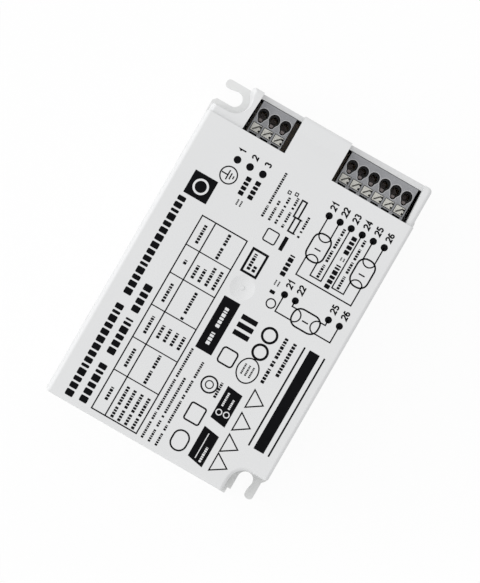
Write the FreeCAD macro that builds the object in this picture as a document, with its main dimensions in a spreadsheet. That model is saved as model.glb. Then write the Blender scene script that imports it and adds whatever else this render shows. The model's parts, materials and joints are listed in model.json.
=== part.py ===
"""Compact electronic ballast for fluorescent lamps: housing, terminals, release buttons and circuit board."""
import FreeCAD, Part
import math
import os
import Sketcher

# Driving dimensions, in millimetres and degrees
SIZES = {
    # Housing: a moulded cover that snaps on a flat base tray
    "housing_width": 67.0,
    "housing_length": 103.0,
    "housing_height": 31.0,
    "rim_height": 3.0,
    "floor_thickness": 2.0,
    "draft_angle": 1.3,
    "corner_radius": 1.3,
    "top_edge_radius": 1.0,
    "cover_wall": 2.2,
    "cover_roof": 1.8,
    "front_overhang": 0.3,
    # Terminal end: a slightly lower roof with two wells
    "terminal_end_length": 12.5,
    "end_drop": 0.85,
    "end_inset": 0.5,
    "rib_inset": 3.0,
    "rib_wall": 3.0,
    "rail_width": 2.5,
    "tongue_dip_length": 7.0,
    "tongue_wall": 1.5,
    "well_lean": 0.5,
    "well_side_gap": 1.4,
    "tongue_gap_left": 1.6,
    "tongue_gap_right": 1.3,
    "partition_wall": 1.5,
    "front_wall_drop": 0.2,
    "front_wall_inner": 2.2,
    "front_wall_setback": 0.8,
    "front_wall_bow": 0.35,
    "board_gap": 0.4,
    "block_front_gap": 0.15,
    "block_tunnel_gap": 0.3,
    # Fixing slots in two opposite corners
    "slot_side_inset": 5.4,
    "far_slot_inset": 5.3,
    "near_slot_inset": 6.2,
    "slot_radius": 2.28,
    "slot_lip": 0.45,
    "slot_neck": 2.4,
    "screw_head_radius": 4.3,
    "near_recess_shift": 1.9,
    "finger_inset": 1.0,
    "finger_tip_radius": 1.1,
    "ear_front_inset": 1.8,
    "near_step_width": 1.05,
    "ear_start": 2.0,
    "ear_step": 1.0,
    # Moulding gate mark in the middle of the roof
    "gate_radius": 3.55,
    "gate_depth": 0.45,
    "gate_nub_radius": 0.55,
    "gate_nub_height": 0.2,
    "gate_offset": 0.8,
    # Snap fits along both long sides
    "lip_gap": 0.2,
    "lip_wall": 1.3,
    "lip_height": 8.0,
    "hook_reach": 1.5,
    "hook_height": 2.2,
    "hook_width": 5.0,
    "hook_level": 6.8,
    "hook_edge": 0.5,
    "near_hook_inset": 23.3,
    "far_hook_inset": 11.5,
    "hook_window_gap": 0.3,
    "lip_near_inset": 3.0,
    "lip_far_inset": 2.0,
    "near_lip_inset": 2.0,
    # Circuit board on heat-staked posts
    "board_level": 6.0,
    "board_thickness": 1.6,
    "board_edge_gap": 0.4,
    "post_width": 5.0,
    "stake_radius": 1.1,
    "stake_gap": 0.12,
    "stake_height": 1.2,
    "post_side_inset": 3.4,
    "near_post_inset": 10.9,
    "far_post_inset": 6.5,
    # Terminal blocks
    "pole_pitch": 3.5,
    "mains_margin": 1.8,
    "lamp_margin": 1.9,
    "block_depth": 13.35,
    "block_height": 14.4,
    "mouth_radius": 1.58,
    "mouth_length": 4.35,
    "mouth_straight": 0.7,
    "mouth_tip_radius": 0.85,
    "mouth_depth": 4.5,
    "mouth_inset": 1.65,
    "entry_radius": 1.1,
    "entry_length": 2.5,
    "entry_shift": 0.195,
    "button_width": 2.65,
    "button_length": 2.25,
    "button_gap": 0.17,
    "button_proud": 0.25,
    "button_inset": 6.5,
    "button_travel": 1.2,
    "travel_gap": 0.15,
    "driver_slot_width": 0.4,
    "driver_slot_depth": 1.2,
    "driver_slot_length": 2.3,
    "notch_depth": 0.45,
    "notch_width": 0.6,
    "notch_height": 2.25,
    "notch_spacing": 1.24,
    "lug_reach": 0.35,
    "lug_height": 0.7,
    "lug_gap": 0.1,
    "chamber_width": 2.5,
    "chamber_back": 9.35,
    "chamber_front": 1.85,
    "window_width": 2.4,
    "window_length": 1.0,
    "window_inset": 9.25,
    "window_depth": 5.0,
    # Clamp springs and contacts
    "leaf_thickness": 0.3,
    "leaf_width": 1.0,
    "leaf_seat_gap": 0.05,
    "leaf_inset": 0.65,
    "leaf_slot_length": 1.05,
    "leaf_foot_gap": 0.35,
    "leaf_knee_inset": 1.0,
    "leaf_knee_drop": 1.9,
    "leaf_shoulder_drop": 0.8,
    "leaf_tip_level": 2.8,
    "leaf_tip_reach": 0.65,
    "contact_width": 2.0,
    "contact_thickness": 0.4,
    "contact_height": 6.8,
    "pin_width": 0.8,
    "pin_length": 2.6,
    "pin_hole_gap": 0.15,
    # Wound parts
    "core_leg": 5.0,
    "core_yoke": 2.8,
    "window_room": 4.2,
    "bobbin_wall": 0.7,
    "bobbin_gap": 0.1,
    "flange_thickness": 1.0,
    "flange_gap": 0.3,
    "winding_inset": 0.5,
    "winding_gap": 0.25,
    "winding_chamfer": 1.2,
    "choke_length": 20.0,
    "choke_height": 15.0,
    "transformer_length": 13.0,
    "transformer_height": 11.0,
    "transformer_leg": 3.6,
    # Other parts on the board
    "bulk_radius": 8.0,
    "bulk_length": 30.0,
    "bulk_chamfer": 0.6,
    "lead_width": 0.7,
    "lead_height": 1.6,
    "fuse_length": 8.4,
    "fuse_width": 4.3,
    "fuse_height": 7.7,
    "disc_radius": 5.0,
    "small_disc_radius": 4.0,
    "disc_thickness": 3.6,
    "film_width": 6.0,
    "film_length": 13.0,
    "film_height": 12.0,
    "film_edge_chamfer": 0.5,
    "small_film_width": 5.0,
    "small_film_length": 7.2,
    "small_film_height": 8.5,
    "bridge_width": 6.4,
    "bridge_length": 8.4,
    "bridge_height": 3.2,
    "power_case_width": 10.0,
    "power_case_depth": 4.5,
    "power_ceiling_gap": 2.4,
    "power_tab_thickness": 1.3,
    "power_tab_hole": 1.8,
    "power_lead_height": 4.0,
    "power_lead_pitch": 2.54,
    "chip_length": 10.3,
    "chip_width": 7.5,
    "chip_height": 2.3,
    "chip_lead_pitch": 1.27,
    "chip_lead_width": 0.4,
    "chip_lead_reach": 1.4,
    "resistor_length": 3.2,
    "resistor_width": 1.6,
    "resistor_height": 0.6,
    "resistor_pitch": 2.6,
    "diode_radius": 2.6,
    "diode_length": 7.5,
    "diode_lead_reach": 1.5,
    # Room that the parts leave at the side and at the terminal end
    "side_room": 2.8,
    "far_room": 4.5,
    # How far pieces that are joined sink into each other, and cuts reach past what they cut
    "overlap": 0.5,
    "past": 5.0,
}
MAINS_POLES = 3
LAMP_POLES = 6
RESISTORS = 6
CHIP_LEADS = 8
# Share of a power transistor's height that is its tab
TAB_SHARE = 0.408

# Where the middle of each part stands: from the middle of the width, and from the inside of the near wall
PLACES = {
    "noise_choke": (-19.0, 59.3),
    "input_fuse": (-23.0, 73.3),
    "varistor": (-12.5, 80.3),
    "noise_capacitor": (-11.5, 72.3),
    "safety_capacitor": (-3.0, 80.3),
    "bridge_rectifier": (-4.0, 62.3),
    "input_capacitor": (-2.6, 52.8),
    "boost_choke": (-18.0, 37.3),
    "bulk_capacitor": (-12.5, 10.7),
    "boost_transistor": (-1.5, 26.3),
    "boost_diode": (-3.0, 40.3),
    "lamp_choke_1": (18.0, 72.3),
    "lamp_choke_2": (18.0, 50.3),
    "bridge_transistor_1": (12.0, 35.3),
    "bridge_transistor_2": (23.5, 35.3),
    "lamp_capacitor_1": (4.8, 78.3),
    "lamp_capacitor_2": (4.8, 69.3),
    "heating_transformer": (13.0, 23.3),
    "control_chip": (11.5, 8.8),
    "chip_resistors": (4.0, 41.3),
}
for part_name, part_place in PLACES.items():
    SIZES[part_name + "_x"], SIZES[part_name + "_y"] = part_place


class Size:
    """A length with its value and the sheet expression that gives it."""

    def __init__(self, value, text):
        self.value = float(value)
        self.text = text

    @staticmethod
    def of(other):
        return other if isinstance(other, Size) else Size(other, repr(float(other)))

    def __add__(self, other):
        other = Size.of(other)
        return Size(self.value + other.value, f"({self.text} + {other.text})")

    def __radd__(self, other):
        return Size.of(other) + self

    def __sub__(self, other):
        other = Size.of(other)
        return Size(self.value - other.value, f"({self.text} - {other.text})")

    def __rsub__(self, other):
        return Size.of(other) - self

    def __mul__(self, other):
        other = Size.of(other)
        return Size(self.value * other.value, f"({self.text} * {other.text})")

    def __rmul__(self, other):
        return Size.of(other) * self

    def __truediv__(self, other):
        other = Size.of(other)
        return Size(self.value / other.value, f"({self.text} / {other.text})")

    def __neg__(self):
        return Size(-self.value, f"(0 - {self.text})")


class Sizes:
    """The driving dimensions by name, as sheet references."""

    def __init__(self, values):
        for name, value in values.items():
            setattr(self, name, Size(value, "sizes." + name))


def root(size):
    return Size(math.sqrt(size.value), f"sqrt({size.text})")


def smaller(one, other):
    return Size(min(one.value, other.value), f"min({one.text}; {other.text})")


def tangent(degrees):
    return Size(math.tan(math.radians(degrees.value)), f"tan({degrees.text})")


doc = FreeCAD.newDocument("ballast")
sheet = doc.addObject("Spreadsheet::Sheet", "sizes")
for row, (name, value) in enumerate(SIZES.items(), start=1):
    sheet.set(f"A{row}", name)
    sheet.set(f"B{row}", str(value))
    sheet.setAlias(f"B{row}", name)
doc.recompute()
s = Sizes(SIZES)
nodes = []

# Levels and positions that several pieces share
half_width = s.housing_width / 2
half_length = s.housing_length / 2
top = s.housing_height
rim = s.rim_height
end_start = half_length - s.terminal_end_length
end_top = top - s.end_drop
end_side = half_width - s.end_inset
slot_x = half_width - s.slot_side_inset
far_slot_y = half_length - s.far_slot_inset
near_slot_y = s.near_slot_inset - half_length
near_recess_y = near_slot_y - s.near_recess_shift
recess_side = slot_x - s.screw_head_radius
recess_end = near_recess_y + s.screw_head_radius
shoulder_end = far_slot_y - s.screw_head_radius
rib_left = s.rib_inset - slot_x
board_top = s.board_level + s.board_thickness
block_top = board_top + s.block_height
chamber_top = block_top - s.mouth_depth - s.entry_length
cavity_side = half_width - s.cover_wall
cavity_end = end_start - s.partition_wall
cavity_near = s.cover_wall - half_length
ceiling = top - s.cover_roof
well_front = half_length - s.front_wall_inner
front_wall_top = block_top - s.front_wall_drop
block_outer = well_front - s.block_front_gap
block_inner = block_outer - s.block_depth
rail_inner = end_side - s.rail_width
well_left = rib_left + s.rib_wall
mains_half = s.pole_pitch * ((MAINS_POLES - 1) / 2) + s.mains_margin
lamp_half = s.pole_pitch * ((LAMP_POLES - 1) / 2) + s.lamp_margin
mains_centre = well_left + s.well_side_gap + mains_half
lamp_centre = rail_inner - s.well_side_gap - lamp_half
mains_left = mains_centre - s.pole_pitch * ((MAINS_POLES - 1) / 2)
lamp_left = lamp_centre - s.pole_pitch * ((LAMP_POLES - 1) / 2)
tongue_left = mains_centre + mains_half + s.tongue_gap_left
tongue_right = lamp_centre - lamp_half - s.tongue_gap_right
far_past = half_length + s.past
sides_past = half_width + s.past
above = top + s.past
hook_rows = (cavity_near + s.near_hook_inset, cavity_end - s.far_hook_inset)
post_rows = (recess_end + s.near_post_inset, cavity_end - s.far_post_inset)

# The locating lips of the tray stand inside the cover, and the board lies inside the lips
lip_side = cavity_side - s.lip_gap
lip_inner = lip_side - s.lip_wall
lip_near = cavity_near + s.lip_gap
lip_near_inner = lip_near + s.lip_wall
recess_lip = recess_side - s.cover_wall - s.lip_gap
recess_lip_end = recess_end + s.cover_wall + s.lip_gap
board_side = lip_inner - s.board_edge_gap
post_side = board_side - s.post_side_inset

# The parts on the board share out the room between the walls, and grow and shrink with it
across = cavity_side / (s.bridge_transistor_2_x + s.power_case_width / 2 + s.side_room)
along = (cavity_end - cavity_near) / (s.lamp_choke_1_y + s.choke_length / 2 + s.far_room)
round_fit = smaller(across, along)


def bind(thing, path, size):
    """Binds a property to the sheet, or to a plain number."""
    thing.setExpression(path, Size.of(size).text)


def new_body(name):
    body = doc.addObject("PartDesign::Body", name)
    body.Label = name
    nodes.append(body)
    return body


def new_sketch(body, plane, offset, origin=(0, 0)):
    """Adds a sketch on one of the body's own planes, moved along the plane's normal by offset."""
    sketch = body.newObject("Sketcher::SketchObject", body.Name + "_sketch")
    support = [f for f in body.Origin.OriginFeatures if f.Role == plane + "_Plane"][0]
    sketch.AttachmentSupport = (support, [""])
    sketch.MapMode = "FlatFace"
    for axis, amount in zip("xyz", (origin[0], origin[1], offset)):
        bind(sketch, "AttachmentOffset.Base." + axis, amount)
    return sketch


def fix(sketch, geometry, point, place):
    """Fixes a point of a sketch at a place given by two sizes."""
    for kind, size in zip(("DistanceX", "DistanceY"), place):
        size = Size.of(size)
        index = sketch.addConstraint(Sketcher.Constraint(kind, geometry, point, size.value))
        bind(sketch, f"Constraints[{index}]", size)


def draw_outline(sketch, corners):
    """Draws a closed outline through corners.

    A corner is (x, y). A corner reached by an arc is (x, y, centre_x, centre_y, turn),
    where turn is 1 for an arc that turns left and -1 for one that turns right."""
    count = len(corners)
    ends = []
    for i in range(count):
        a, b = corners[i], corners[(i + 1) % count]
        ax, ay, bx, by = (Size.of(c).value for c in (a[0], a[1], b[0], b[1]))
        if len(b) == 2:
            line = Part.LineSegment(FreeCAD.Vector(ax, ay, 0), FreeCAD.Vector(bx, by, 0))
            ends.append((sketch.addGeometry(line), 1, 2))
            continue
        cx, cy, turn = Size.of(b[2]).value, Size.of(b[3]).value, b[4]
        circle = Part.Circle(FreeCAD.Vector(cx, cy, 0), FreeCAD.Vector(0, 0, 1), math.hypot(bx - cx, by - cy))
        from_angle = math.atan2(ay - cy, ax - cx)
        to_angle = math.atan2(by - cy, bx - cx)
        if turn < 0:
            from_angle, to_angle = to_angle, from_angle
        if to_angle < from_angle:
            to_angle += 2 * math.pi
        arc = sketch.addGeometry(Part.ArcOfCircle(circle, from_angle, to_angle))
        ends.append((arc, 1, 2) if turn > 0 else (arc, 2, 1))
    for i in range(count):
        here, there = ends[i], ends[(i + 1) % count]
        sketch.addConstraint(Sketcher.Constraint("Coincident", here[0], here[2], there[0], there[1]))
    for i in range(count):
        fix(sketch, ends[i][0], ends[i][1], corners[i][:2])
        end = corners[(i + 1) % count]
        if len(end) == 2:
            continue
        across = abs(Size.of(end[0]).value - Size.of(corners[i][0]).value)
        along = abs(Size.of(end[1]).value - Size.of(corners[i][1]).value)
        kind, size = ("DistanceY", end[3]) if across > along else ("DistanceX", end[2])
        size = Size.of(size)
        index = sketch.addConstraint(Sketcher.Constraint(kind, ends[i][0], 3, size.value))
        bind(sketch, f"Constraints[{index}]", size)


def draw_circle(sketch, x, y, radius):
    centre = FreeCAD.Vector(Size.of(x).value, Size.of(y).value, 0)
    circle = sketch.addGeometry(Part.Circle(centre, FreeCAD.Vector(0, 0, 1), Size.of(radius).value))
    fix(sketch, circle, 3, (x, y))
    index = sketch.addConstraint(Sketcher.Constraint("Radius", circle, Size.of(radius).value))
    bind(sketch, f"Constraints[{index}]", radius)


def rectangle(x_low, x_high, y_low, y_high):
    return [(x_low, y_low), (x_high, y_low), (x_high, y_high), (x_low, y_high)]


def prism(kind, body, plane, extent, corners=None, circles=None):
    """Adds a Pad or Pocket between two levels along the plane's axis, lowest level first."""
    low, high = (Size.of(level) for level in extent)
    start = -high if plane == "XZ" else low
    sketch = new_sketch(body, plane, start)
    if corners:
        draw_outline(sketch, corners)
    for circle in circles or []:
        draw_circle(sketch, *circle)
    feature = body.newObject("PartDesign::" + kind, body.Name + "_" + kind.lower())
    feature.Profile = sketch
    bind(feature, "Length", high - low)
    if kind == "Pocket":
        feature.Reversed = True
    body.Tip = feature
    return feature


def pad(*args, **options):
    return prism("Pad", *args, **options)


def pocket(*args, **options):
    return prism("Pocket", *args, **options)


def round_edges(body, radius, chosen):
    """Rounds the edges of the body that chosen accepts."""
    doc.recompute()
    base = body.Tip
    names = [f"Edge{i}" for i, edge in enumerate(base.Shape.Edges, start=1) if chosen(edge)]
    feature = body.newObject("PartDesign::Fillet", body.Name + "_fillet")
    feature.Base = (base, names)
    bind(feature, "Radius", radius)
    body.Tip = feature
    return feature


def draft_sides(body, angle):
    """Leans the standing faces of the body inwards from its lowest face up."""
    doc.recompute()
    base = body.Tip
    faces = list(enumerate(base.Shape.Faces, start=1))
    lowest = min(faces, key=lambda item: item[1].BoundBox.ZMax)[0]
    draft = body.newObject("PartDesign::Draft", body.Name + "_draft")
    draft.Base = (base, [f"Face{i}" for i, face in faces if abs(face.normalAt(0, 0).z) < 0.01])
    draft.NeutralPlane = (base, [f"Face{lowest}"])
    bind(draft, "Angle", angle)
    body.Tip = draft
    return draft


def repeat(body, features, count, pitch):
    """Repeats features along X."""
    pattern = body.newObject("PartDesign::LinearPattern", body.Name + "_poles")
    pattern.Originals = features
    axis = [f for f in body.Origin.OriginFeatures if f.Role == "X_Axis"][0]
    pattern.Direction = (axis, [""])
    bind(pattern, "Length", pitch * (count - 1))
    pattern.Occurrences = count
    body.Tip = pattern
    return pattern


def block(name, x_extent, y_extent, z_extent):
    """Adds a Part::Box between three pairs of levels."""
    box = doc.addObject("Part::Box", name)
    extents = [(Size.of(low), Size.of(high)) for low, high in (x_extent, y_extent, z_extent)]
    for side, axis, (low, high) in zip(("Length", "Width", "Height"), "xyz", extents):
        bind(box, side, high - low)
        bind(box, "Placement.Base." + axis, low)
    return box


def cut(name, base, tool):
    result = doc.addObject("Part::Cut", name)
    result.Base = base
    result.Tool = tool
    return result


def fuse(name, pieces):
    result = doc.addObject("Part::MultiFuse", name)
    result.Shapes = pieces
    return result


def group(name, pieces):
    result = doc.addObject("Part::Compound", name)
    result.Links = pieces
    return result


def keep(piece, name):
    """Makes a Part object one of the named sub-parts."""
    piece.Label = name
    nodes.append(piece)
    return piece


def around(middle, length):
    """The two levels that lie half a length each side of a middle."""
    return (middle - length / 2, middle + length / 2)


def place(name):
    """The middle of a part on the board, as two sizes."""
    return getattr(s, name + "_x") * across, cavity_near + getattr(s, name + "_y") * along


def bevel(name, base, size, chosen):
    """Bevels the edges of a Part object that chosen accepts."""
    doc.recompute()
    result = doc.addObject("Part::Chamfer", name)
    result.Base = base
    value = Size.of(size).value
    result.Edges = [(i, value, value) for i, edge in enumerate(base.Shape.Edges, start=1) if chosen(edge)]
    return result


def is_upright(edge):
    return edge.BoundBox.ZLength > 5 * max(edge.BoundBox.XLength, edge.BoundBox.YLength)


def rises_from(places):
    """Accepts the standing edges whose foot is at one of the places."""
    points = [(x.value, y.value) for x, y in places]

    def accepts(edge):
        if not edge.Vertexes:
            return False
        foot = min((v.Point for v in edge.Vertexes), key=lambda p: p.z)
        near = any(math.hypot(foot.x - x, foot.y - y) < 0.01 for x, y in points)
        return near and is_upright(edge)

    return accepts


def lies_at(edge, level):
    return abs(edge.BoundBox.ZMin - level) < 0.001 and abs(edge.BoundBox.ZMax - level) < 0.001


# Cover: drafted outer form, lower terminal end, wells, tongue, hollow inside
def make_cover():
    cover = new_body("cover")
    scallop_rise = root(s.screw_head_radius * s.screw_head_radius - s.rib_inset * s.rib_inset)
    outline = [
        (-half_width, -half_length),
        (recess_side, -half_length),
        (recess_side, near_recess_y),
        (slot_x, recess_end, slot_x, near_recess_y, -1),
        (half_width, recess_end),
        (half_width, half_length),
        (rib_left, half_length),
        (rib_left, far_slot_y + scallop_rise),
        (-slot_x, shoulder_end, -slot_x, far_slot_y, -1),
        (-half_width, shoulder_end),
    ]
    pad(cover, "XY", (rim, top), outline)
    corners = [(-half_width, -half_length), (recess_side, -half_length), (half_width, recess_end)]
    round_edges(cover, s.corner_radius, rises_from(corners))
    draft_sides(cover, s.draft_angle)

    def on_block_rim(edge):
        return lies_at(edge, top.value) and edge.BoundBox.YMin < end_start.value

    round_edges(cover, s.top_edge_radius, on_block_rim)
    # Beyond the main block the sides step in and the roof is lower, and the tongue dips down to it
    lean = tangent(s.draft_angle) * (above - rim)
    for side in (-1, 1):
        strip = [(side * end_side, rim), (side * (end_side - lean), above), (side * sides_past, above),
                 (side * sides_past, rim)]
        pocket(cover, "XZ", (end_start, far_past), strip if side < 0 else strip[::-1])
    round_edges(cover, s.corner_radius, rises_from([(end_side, half_length)]))
    pocket(cover, "XY", (end_top, above), rectangle(-sides_past, tongue_left, end_start, far_past))
    pocket(cover, "XY", (end_top, above), rectangle(tongue_right, sides_past, end_start, far_past))
    dip_end = end_start + s.tongue_dip_length
    dip_radius = (s.tongue_dip_length * s.tongue_dip_length + s.end_drop * s.end_drop) / (2 * s.end_drop)
    dip = [(end_start, top), (dip_end, end_top, end_start, top - dip_radius, -1), (far_past, end_top),
           (far_past, above), (end_start, above)]
    pocket(cover, "YZ", (tongue_left, tongue_right), dip)

    def on_end_rim(edge):
        middle = edge.CenterOfMass
        along_side = edge.BoundBox.XLength < 0.1 and abs(middle.x) > rail_inner.value
        at_front = middle.y > well_front.value and middle.x > rib_left.value
        return lies_at(edge, end_top.value) and (along_side or at_front)

    round_edges(cover, s.top_edge_radius, on_end_rim)
    # Inside
    wall = s.cover_wall
    inner = [
        (-cavity_side, cavity_near),
        (recess_side - wall, cavity_near),
        (recess_side - wall, near_recess_y),
        (slot_x, recess_end + wall, slot_x, near_recess_y, -1),
        (cavity_side, recess_end + wall),
        (cavity_side, cavity_end),
        (-cavity_side, cavity_end),
    ]
    pocket(cover, "XY", (rim, ceiling), inner)
    tongue_inside = rectangle(tongue_left + s.tongue_wall, tongue_right - s.tongue_wall,
                              cavity_end - s.overlap, well_front)
    pocket(cover, "XY", (rim, end_top - s.cover_roof), tongue_inside)
    # Wells over the terminal blocks, with a lower front wall
    front_face = half_length - s.front_wall_setback
    for left, right, left_lean, right_lean, bow in (
            (well_left, tongue_left, s.well_lean, 0.0, 0.0),
            (tongue_right, rail_inner, 0.0, s.well_lean, s.front_wall_bow)):
        well = [(left, end_start), (right, end_start), (right - right_lean, well_front),
                (left + left_lean, well_front)]
        pocket(cover, "XY", (rim, above), well)
        front = rectangle(left + left_lean, right - right_lean, well_front - s.overlap, far_past)
        pocket(cover, "XY", (front_wall_top, above), front)
        ahead = [(left + left_lean, front_face), (right - right_lean, front_face + bow),
                 (right - right_lean, far_past), (left + left_lean, far_past)]
        pocket(cover, "XY", (rim, above), ahead)
    # Room for the circuit board and the terminal blocks under the walls of the terminal end
    board_room = rectangle(well_left, rail_inner - s.well_lean, cavity_end - s.overlap, well_front)
    pocket(cover, "XY", (rim, board_top + s.board_gap), board_room)
    tunnel = s.block_tunnel_gap
    for centre, half in ((mains_centre, mains_half), (lamp_centre, lamp_half)):
        room = rectangle(centre - half - tunnel, centre + half + tunnel, cavity_end - s.overlap,
                         end_start + s.overlap)
        pocket(cover, "XY", (rim, block_top + tunnel), room)
    # Windows for the snap hooks
    gap = s.hook_window_gap
    level = (s.hook_level - gap, s.hook_level + s.hook_height + gap)
    for side in (-1, 1):
        for y in hook_rows:
            span = around(y, s.hook_width + 2 * gap)
            x = sorted((side * (cavity_side - s.overlap), side * sides_past), key=lambda size: size.value)
            pocket(cover, "XY", level, rectangle(x[0], x[1], span[0], span[1]))
    # Gate mark: a shallow dish with a small nub in the middle
    dish_radius = (s.gate_radius * s.gate_radius + s.gate_depth * s.gate_depth) / (2 * s.gate_depth)
    dish = new_sketch(cover, "XZ", -s.gate_offset)
    draw_outline(dish, [(0, top - s.gate_depth), (s.gate_radius, top, 0, top - s.gate_depth + dish_radius, 1),
                        (s.gate_radius, above), (0, above)])
    groove = cover.newObject("PartDesign::Groove", "gate_dish")
    groove.Profile = dish
    groove.ReferenceAxis = (dish, ["V_Axis"])
    groove.Angle = 360
    cover.Tip = groove
    nub_foot = top - s.gate_depth
    pad(cover, "XY", (nub_foot - s.overlap, nub_foot + s.gate_nub_height),
        circles=[(0, s.gate_offset, s.gate_nub_radius)])
    return cover


# Base tray: floor with two slotted ears, locating lips, snap hooks and board posts
def make_base_tray():
    tray = new_body("base_tray")
    step_x = recess_side + s.near_step_width
    finger_side = half_width - s.finger_inset
    ear_front = s.ear_front_inset - half_length
    ear_far = half_length - s.finger_inset
    foot_front = half_length - s.front_overhang
    far_slot_low = far_slot_y - s.slot_radius
    outline = [
        (-half_width, -half_length),
        (step_x, -half_length),
        (step_x, ear_front),
        (finger_side, ear_front),
        (finger_side, recess_end - s.finger_inset),
        (half_width, recess_end),
        (half_width, end_start + s.ear_start),
        (end_side, end_start + s.ear_start + s.ear_step),
        (end_side, foot_front),
        (rib_left, foot_front),
        (rib_left, ear_far),
        (-finger_side, ear_far),
        (-finger_side, far_slot_low),
        (-half_width, far_slot_low - s.finger_inset),
    ]
    pad(tray, "XY", (0, rim), outline)
    # Slots: round at the inner end, with a lip on the finger that narrows the mouth
    neck = s.slot_neck
    far_slot = [
        (-sides_past, far_slot_y - s.slot_radius),
        (-slot_x, far_slot_y - s.slot_radius),
        (-slot_x, far_slot_y + s.slot_radius, -slot_x, far_slot_y, 1),
        (-slot_x - neck, far_slot_y + s.slot_radius - s.slot_lip),
        (-sides_past, far_slot_y + s.slot_radius - s.slot_lip),
    ]
    through = (-s.overlap, rim + s.overlap)
    pocket(tray, "XY", through, far_slot)
    near_slot = [
        (slot_x + s.slot_radius - s.slot_lip, -far_past),
        (slot_x + s.slot_radius - s.slot_lip, near_slot_y - neck),
        (slot_x + s.slot_radius, near_slot_y),
        (slot_x - s.slot_radius, near_slot_y, slot_x, near_slot_y, 1),
        (slot_x - s.slot_radius, -far_past),
    ]
    pocket(tray, "XY", through, near_slot)
    tips = [(-finger_side, ear_far), (-finger_side, far_slot_y + s.slot_radius - s.slot_lip),
            (finger_side, ear_front), (slot_x + s.slot_radius - s.slot_lip, ear_front)]
    tips = [(x.value, y.value) for x, y in tips]

    def at_tip(edge):
        middle = edge.CenterOfMass
        return is_upright(edge) and any(math.hypot(middle.x - x, middle.y - y) < 0.01 for x, y in tips)

    round_edges(tray, s.finger_tip_radius, at_tip)
    outer = [(-half_width, -half_length), (half_width, recess_end), (end_side, foot_front)]
    round_edges(tray, s.corner_radius, rises_from(outer))
    # Floor inside the locating lips
    hollow = [
        (-lip_inner, lip_near_inner),
        (recess_lip - s.lip_wall, lip_near_inner),
        (recess_lip - s.lip_wall, recess_lip_end),
        (lip_inner, recess_lip_end),
        (lip_inner, cavity_end),
        (-lip_inner, cavity_end),
    ]
    pocket(tray, "XY", (s.floor_thickness, rim + s.overlap), hollow)
    lip_levels = (s.floor_thickness, s.floor_thickness + s.lip_height)
    lip_far = cavity_end - s.lip_far_inset
    pad(tray, "XY", lip_levels, rectangle(-lip_side, -lip_inner, lip_near_inner, lip_far))
    pad(tray, "XY", lip_levels, rectangle(lip_inner, lip_side, recess_lip_end + s.lip_near_inset, lip_far))
    pad(tray, "XY", lip_levels, rectangle(-lip_side, recess_lip - s.near_lip_inset, lip_near, lip_near_inner))
    # Snap hooks: square below, sloping in above
    hook_foot = lip_side - s.lip_wall / 2
    hook_tip = lip_side + s.hook_reach
    for side in (-1, 1):
        for y in hook_rows:
            hook = [(side * hook_foot, s.hook_level), (side * hook_tip, s.hook_level),
                    (side * hook_tip, s.hook_level + s.hook_edge),
                    (side * hook_foot, s.hook_level + s.hook_height)]
            pad(tray, "XZ", around(y, s.hook_width), hook if side > 0 else hook[::-1])
    # Posts with stakes that pass through the board
    for side in (-1, 1):
        for y in post_rows:
            x = side * post_side
            post_x, post_y = around(x, s.post_width), around(y, s.post_width)
            pad(tray, "XY", (s.floor_thickness - s.overlap, s.board_level),
                rectangle(post_x[0], post_x[1], post_y[0], post_y[1]))
            pad(tray, "XY", (s.board_level - s.overlap, board_top + s.stake_height),
                circles=[(x, y, s.stake_radius)])
    return tray


# Circuit board: follows the inside of the housing, with notches at both ears
def make_circuit_board():
    board = new_body("circuit_board")
    near = lip_near_inner + s.board_edge_gap
    notch_x = recess_lip - s.lip_wall - s.board_edge_gap
    notch_y = recess_lip_end + s.board_edge_gap
    front = well_front - s.board_edge_gap
    left = well_left + s.well_lean + s.board_edge_gap
    outline = [
        (-board_side, near),
        (notch_x, near),
        (notch_x, notch_y),
        (board_side, notch_y),
        (board_side, front),
        (left, front),
        (left, cavity_end - s.board_edge_gap),
        (-board_side, cavity_end - s.board_edge_gap),
    ]
    pad(board, "XY", (s.board_level, board_top), outline)
    hole = s.stake_radius + s.stake_gap
    through = (s.board_level - s.overlap, board_top + s.overlap)
    for side in (-1, 1):
        for y in post_rows:
            pocket(board, "XY", through, circles=[(side * post_side, y, hole)])
    for first, count in ((mains_left, MAINS_POLES), (lamp_left, LAMP_POLES)):
        span_x = around(first, s.pin_width + 2 * s.pin_hole_gap)
        span_y = around(contact_y, s.contact_thickness + 2 * s.pin_hole_gap)
        slot = pocket(board, "XY", through, rectangle(span_x[0], span_x[1], span_y[0], span_y[1]))
        repeat(board, [slot], count, s.pole_pitch)
    return board


contact_y = block_outer - s.chamber_front - s.contact_thickness / 2
button_y = (block_outer - s.button_inset - s.button_length, block_outer - s.button_inset)
button_foot = chamber_top - s.lug_height - s.leaf_seat_gap
chamber_back = block_outer - s.chamber_back
mouth_floor = block_top - s.mouth_depth
mouth_tip = block_outer - s.mouth_inset - s.mouth_length


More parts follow.
